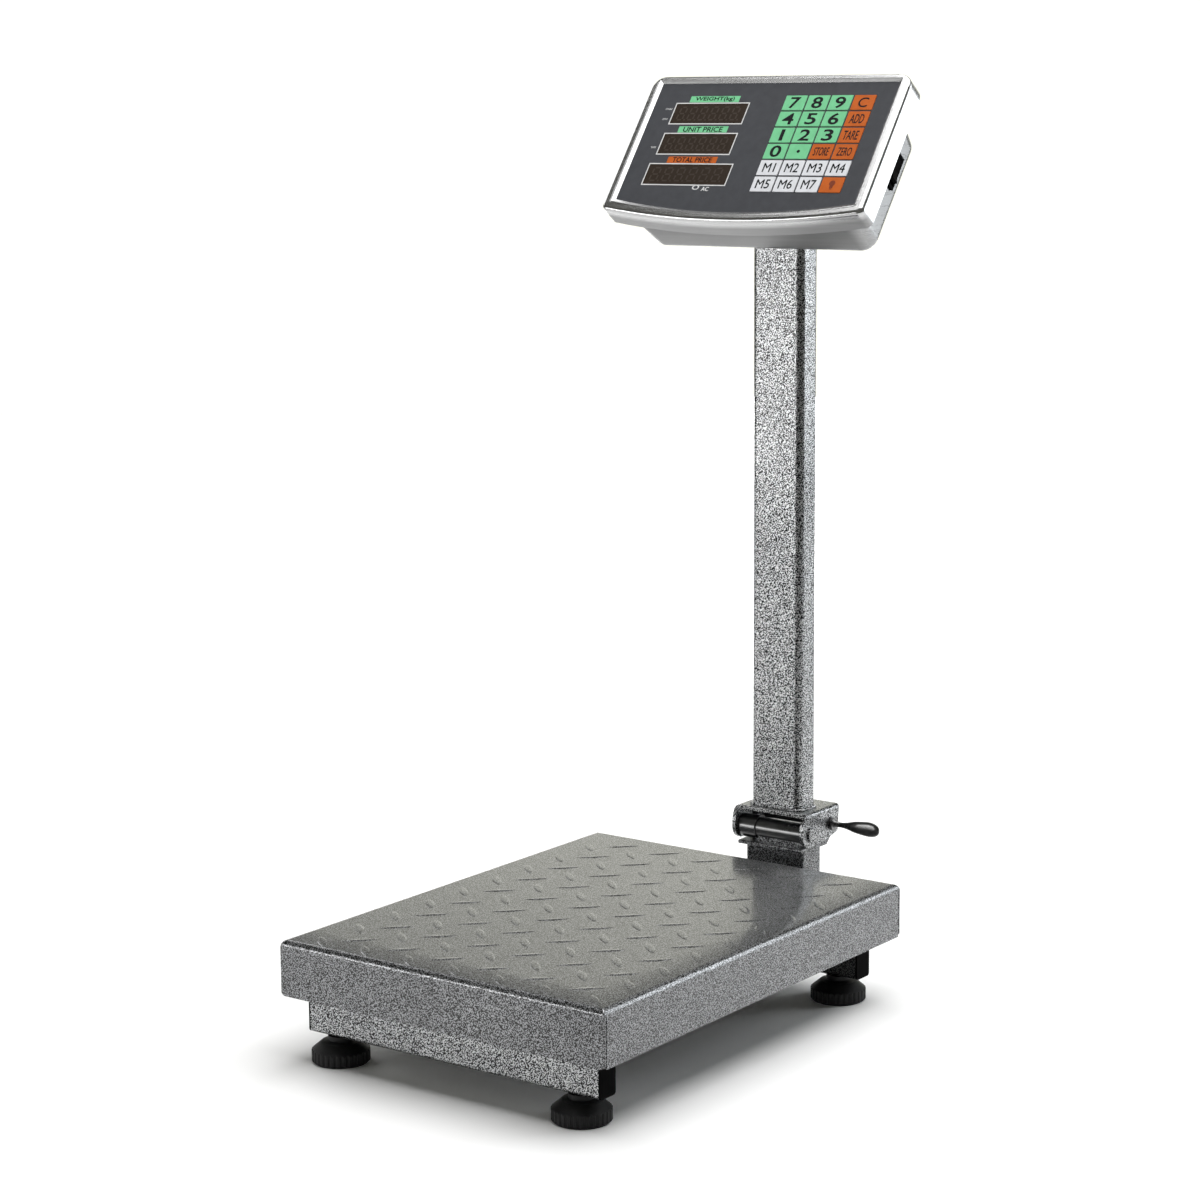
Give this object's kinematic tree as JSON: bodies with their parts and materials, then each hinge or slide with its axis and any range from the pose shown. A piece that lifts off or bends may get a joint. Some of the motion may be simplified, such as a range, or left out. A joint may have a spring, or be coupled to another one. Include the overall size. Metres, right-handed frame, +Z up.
{
  "type": "platform shipping scale",
  "caption": "Bench platform scale: sheet tray on a levelling base, folding mast and tilting stainless head with keypad and displays.",
  "frame": {"origin": "on the floor, under the middle of the whole scale's width and depth", "axes": "+X to the user's right, +Y away from the user towards the mast, +Z up"},
  "size_m": [0.3, 0.494, 0.7276],
  "materials": {
    "hammered_grey": "hammered enamel, dark grey",
    "black_paint": "satin black enamel",
    "black_plastic": "moulded, matt",
    "stainless": "brushed stainless sheet",
    "fascia": "satin overlay",
    "window_tint": "tinted clear sheet",
    "key_green": "printed film",
    "key_orange": "printed film",
    "key_white": "printed film",
    "pad_rubber": "matt",
    "cell_aluminium": "machined",
    "zinc_steel": "zinc plated",
    "circuit_board": "solder mask",
    "battery_case": "moulded"
  },
  "bodies": {
    "base": {"front_cross_tube": "hammered_grey", "rear_cross_tube": "hammered_grey", "tube_end_caps": "black_plastic", "base_channel": "hammered_grey", "rear_arm": "hammered_grey", "mast_post": "hammered_grey", "load_cell": "cell_aluminium", "load_cell_spacers": "zinc_steel", "load_cell_bolts": "zinc_steel", "spider_frame": "hammered_grey", "tray_rest_pads": "pad_rubber", "lower_hinge_bracket": "hammered_grey", "hinge_barrel": "black_paint"},
    "tray": {"weighing_tray": "hammered_grey"},
    "foot_front_left": {"foot_front_left": "black_plastic"},
    "foot_front_right": {"foot_front_right": "black_plastic"},
    "foot_rear_left": {"foot_rear_left": "black_plastic"},
    "foot_rear_right": {"foot_rear_right": "black_plastic"},
    "mast": {"upper_hinge_bracket": "hammered_grey", "column_tube": "hammered_grey", "hinge_pin": "black_paint", "column_yoke": "black_paint"},
    "clamp": {"clamp_lever": "black_paint"},
    "head": {"head_tilt_bracket": "black_paint", "front_shell": "stainless", "rear_shell": "stainless", "shell_screws": "zinc_steel", "fascia_panel": "fascia", "display_windows": "window_tint", "led_displays": "black_plastic", "main_board": "circuit_board", "battery": "battery_case", "switch_bezel": "black_plastic", "power_inlet": "black_plastic"},
    "tilt_knob": {"tilt_knob": "black_plastic"},
    "rocker": {"switch_rocker": "black_plastic"},
    "key_7": {"key_7": "key_green"},
    "key_8": {"key_8": "key_green"},
    "key_9": {"key_9": "key_green"},
    "key_clear": {"key_clear": "key_orange"},
    "key_4": {"key_4": "key_green"},
    "key_5": {"key_5": "key_green"},
    "key_6": {"key_6": "key_green"},
    "key_add": {"key_add": "key_orange"},
    "key_1": {"key_1": "key_green"},
    "key_2": {"key_2": "key_green"},
    "key_3": {"key_3": "key_green"},
    "key_tare": {"key_tare": "key_orange"},
    "key_0": {"key_0": "key_green"},
    "key_dot": {"key_dot": "key_green"},
    "key_store": {"key_store": "key_orange"},
    "key_zero": {"key_zero": "key_orange"},
    "key_m1": {"key_m1": "key_white"},
    "key_m2": {"key_m2": "key_white"},
    "key_m3": {"key_m3": "key_white"},
    "key_m4": {"key_m4": "key_white"},
    "key_m5": {"key_m5": "key_white"},
    "key_m6": {"key_m6": "key_white"},
    "key_m7": {"key_m7": "key_white"},
    "key_lamp": {"key_lamp": "key_orange"}
  },
  "joints": [
    {"name": "column_fold", "type": "hinge", "parent": "base", "child": "mast", "pos_m": [0, 0.203, 0.1055], "axis": [1, 0, 0], "range_deg": [0, 90]},
    {"name": "clamp_turn", "type": "hinge", "parent": "mast", "child": "clamp", "pos_m": [0.04, 0.2347, 0.1089], "axis": [1, 0, 0], "range_deg": [0, 180]},
    {"name": "head_tilt", "type": "hinge", "parent": "mast", "child": "head", "pos_m": [0, 0.219, 0.614], "axis": [1, 0, 0], "range_deg": [-20, 15]},
    {"name": "tilt_knob_turn", "type": "hinge", "parent": "head", "child": "tilt_knob", "pos_m": [0.02, 0.219, 0.614], "axis": [1, 0, 0], "range_deg": [0, 180]},
    {"name": "tray_lift", "type": "slide", "parent": "base", "child": "tray", "axis": [0, 0, 1], "range_m": [0, 0.006]},
    {"name": "foot_front_left_screw", "type": "slide", "parent": "base", "child": "foot_front_left", "axis": [0, 0, -1], "range_m": [0, 0.012]},
    {"name": "foot_front_right_screw", "type": "slide", "parent": "base", "child": "foot_front_right", "axis": [0, 0, -1], "range_m": [0, 0.012]},
    {"name": "foot_rear_left_screw", "type": "slide", "parent": "base", "child": "foot_rear_left", "axis": [0, 0, -1], "range_m": [0, 0.012]},
    {"name": "foot_rear_right_screw", "type": "slide", "parent": "base", "child": "foot_rear_right", "axis": [0, 0, -1], "range_m": [0, 0.012]},
    {"name": "switch_rock", "type": "hinge", "parent": "head", "child": "rocker", "pos_m": [0.10237, 0.20454, 0.65359], "axis": [0.068, -0.803, 0.592], "range_deg": [-16, 0]},
    {"name": "key_7_press", "type": "slide", "parent": "head", "child": "key_7", "axis": [0, 0.8049, -0.5934], "range_m": [0, 0.0004], "stiffness_N_per_m": 1500, "springref_m": -0.0005},
    {"name": "key_8_press", "type": "slide", "parent": "head", "child": "key_8", "axis": [0, 0.8049, -0.5934], "range_m": [0, 0.0004], "stiffness_N_per_m": 1500, "springref_m": -0.0005},
    {"name": "key_9_press", "type": "slide", "parent": "head", "child": "key_9", "axis": [0, 0.8049, -0.5934], "range_m": [0, 0.0004], "stiffness_N_per_m": 1500, "springref_m": -0.0005},
    {"name": "key_clear_press", "type": "slide", "parent": "head", "child": "key_clear", "axis": [0, 0.8049, -0.5934], "range_m": [0, 0.0004], "stiffness_N_per_m": 1500, "springref_m": -0.0005},
    {"name": "key_4_press", "type": "slide", "parent": "head", "child": "key_4", "axis": [0, 0.8049, -0.5934], "range_m": [0, 0.0004], "stiffness_N_per_m": 1500, "springref_m": -0.0005},
    {"name": "key_5_press", "type": "slide", "parent": "head", "child": "key_5", "axis": [0, 0.8049, -0.5934], "range_m": [0, 0.0004], "stiffness_N_per_m": 1500, "springref_m": -0.0005},
    {"name": "key_6_press", "type": "slide", "parent": "head", "child": "key_6", "axis": [0, 0.8049, -0.5934], "range_m": [0, 0.0004], "stiffness_N_per_m": 1500, "springref_m": -0.0005},
    {"name": "key_add_press", "type": "slide", "parent": "head", "child": "key_add", "axis": [0, 0.8049, -0.5934], "range_m": [0, 0.0004], "stiffness_N_per_m": 1500, "springref_m": -0.0005},
    {"name": "key_1_press", "type": "slide", "parent": "head", "child": "key_1", "axis": [0, 0.8049, -0.5934], "range_m": [0, 0.0004], "stiffness_N_per_m": 1500, "springref_m": -0.0005},
    {"name": "key_2_press", "type": "slide", "parent": "head", "child": "key_2", "axis": [0, 0.8049, -0.5934], "range_m": [0, 0.0004], "stiffness_N_per_m": 1500, "springref_m": -0.0005},
    {"name": "key_3_press", "type": "slide", "parent": "head", "child": "key_3", "axis": [0, 0.8049, -0.5934], "range_m": [0, 0.0004], "stiffness_N_per_m": 1500, "springref_m": -0.0005},
    {"name": "key_tare_press", "type": "slide", "parent": "head", "child": "key_tare", "axis": [0, 0.8049, -0.5934], "range_m": [0, 0.0004], "stiffness_N_per_m": 1500, "springref_m": -0.0005},
    {"name": "key_0_press", "type": "slide", "parent": "head", "child": "key_0", "axis": [0, 0.8049, -0.5934], "range_m": [0, 0.0004], "stiffness_N_per_m": 1500, "springref_m": -0.0005},
    {"name": "key_dot_press", "type": "slide", "parent": "head", "child": "key_dot", "axis": [0, 0.8049, -0.5934], "range_m": [0, 0.0004], "stiffness_N_per_m": 1500, "springref_m": -0.0005},
    {"name": "key_store_press", "type": "slide", "parent": "head", "child": "key_store", "axis": [0, 0.8049, -0.5934], "range_m": [0, 0.0004], "stiffness_N_per_m": 1500, "springref_m": -0.0005},
    {"name": "key_zero_press", "type": "slide", "parent": "head", "child": "key_zero", "axis": [0, 0.8049, -0.5934], "range_m": [0, 0.0004], "stiffness_N_per_m": 1500, "springref_m": -0.0005},
    {"name": "key_m1_press", "type": "slide", "parent": "head", "child": "key_m1", "axis": [0, 0.8049, -0.5934], "range_m": [0, 0.0004], "stiffness_N_per_m": 1500, "springref_m": -0.0005},
    {"name": "key_m2_press", "type": "slide", "parent": "head", "child": "key_m2", "axis": [0, 0.8049, -0.5934], "range_m": [0, 0.0004], "stiffness_N_per_m": 1500, "springref_m": -0.0005},
    {"name": "key_m3_press", "type": "slide", "parent": "head", "child": "key_m3", "axis": [0, 0.8049, -0.5934], "range_m": [0, 0.0004], "stiffness_N_per_m": 1500, "springref_m": -0.0005},
    {"name": "key_m4_press", "type": "slide", "parent": "head", "child": "key_m4", "axis": [0, 0.8049, -0.5934], "range_m": [0, 0.0004], "stiffness_N_per_m": 1500, "springref_m": -0.0005},
    {"name": "key_m5_press", "type": "slide", "parent": "head", "child": "key_m5", "axis": [0, 0.8049, -0.5934], "range_m": [0, 0.0004], "stiffness_N_per_m": 1500, "springref_m": -0.0005},
    {"name": "key_m6_press", "type": "slide", "parent": "head", "child": "key_m6", "axis": [0, 0.8049, -0.5934], "range_m": [0, 0.0004], "stiffness_N_per_m": 1500, "springref_m": -0.0005},
    {"name": "key_m7_press", "type": "slide", "parent": "head", "child": "key_m7", "axis": [0, 0.8049, -0.5934], "range_m": [0, 0.0004], "stiffness_N_per_m": 1500, "springref_m": -0.0005},
    {"name": "key_lamp_press", "type": "slide", "parent": "head", "child": "key_lamp", "axis": [0, 0.8049, -0.5934], "range_m": [0, 0.0004], "stiffness_N_per_m": 1500, "springref_m": -0.0005}
  ]
}
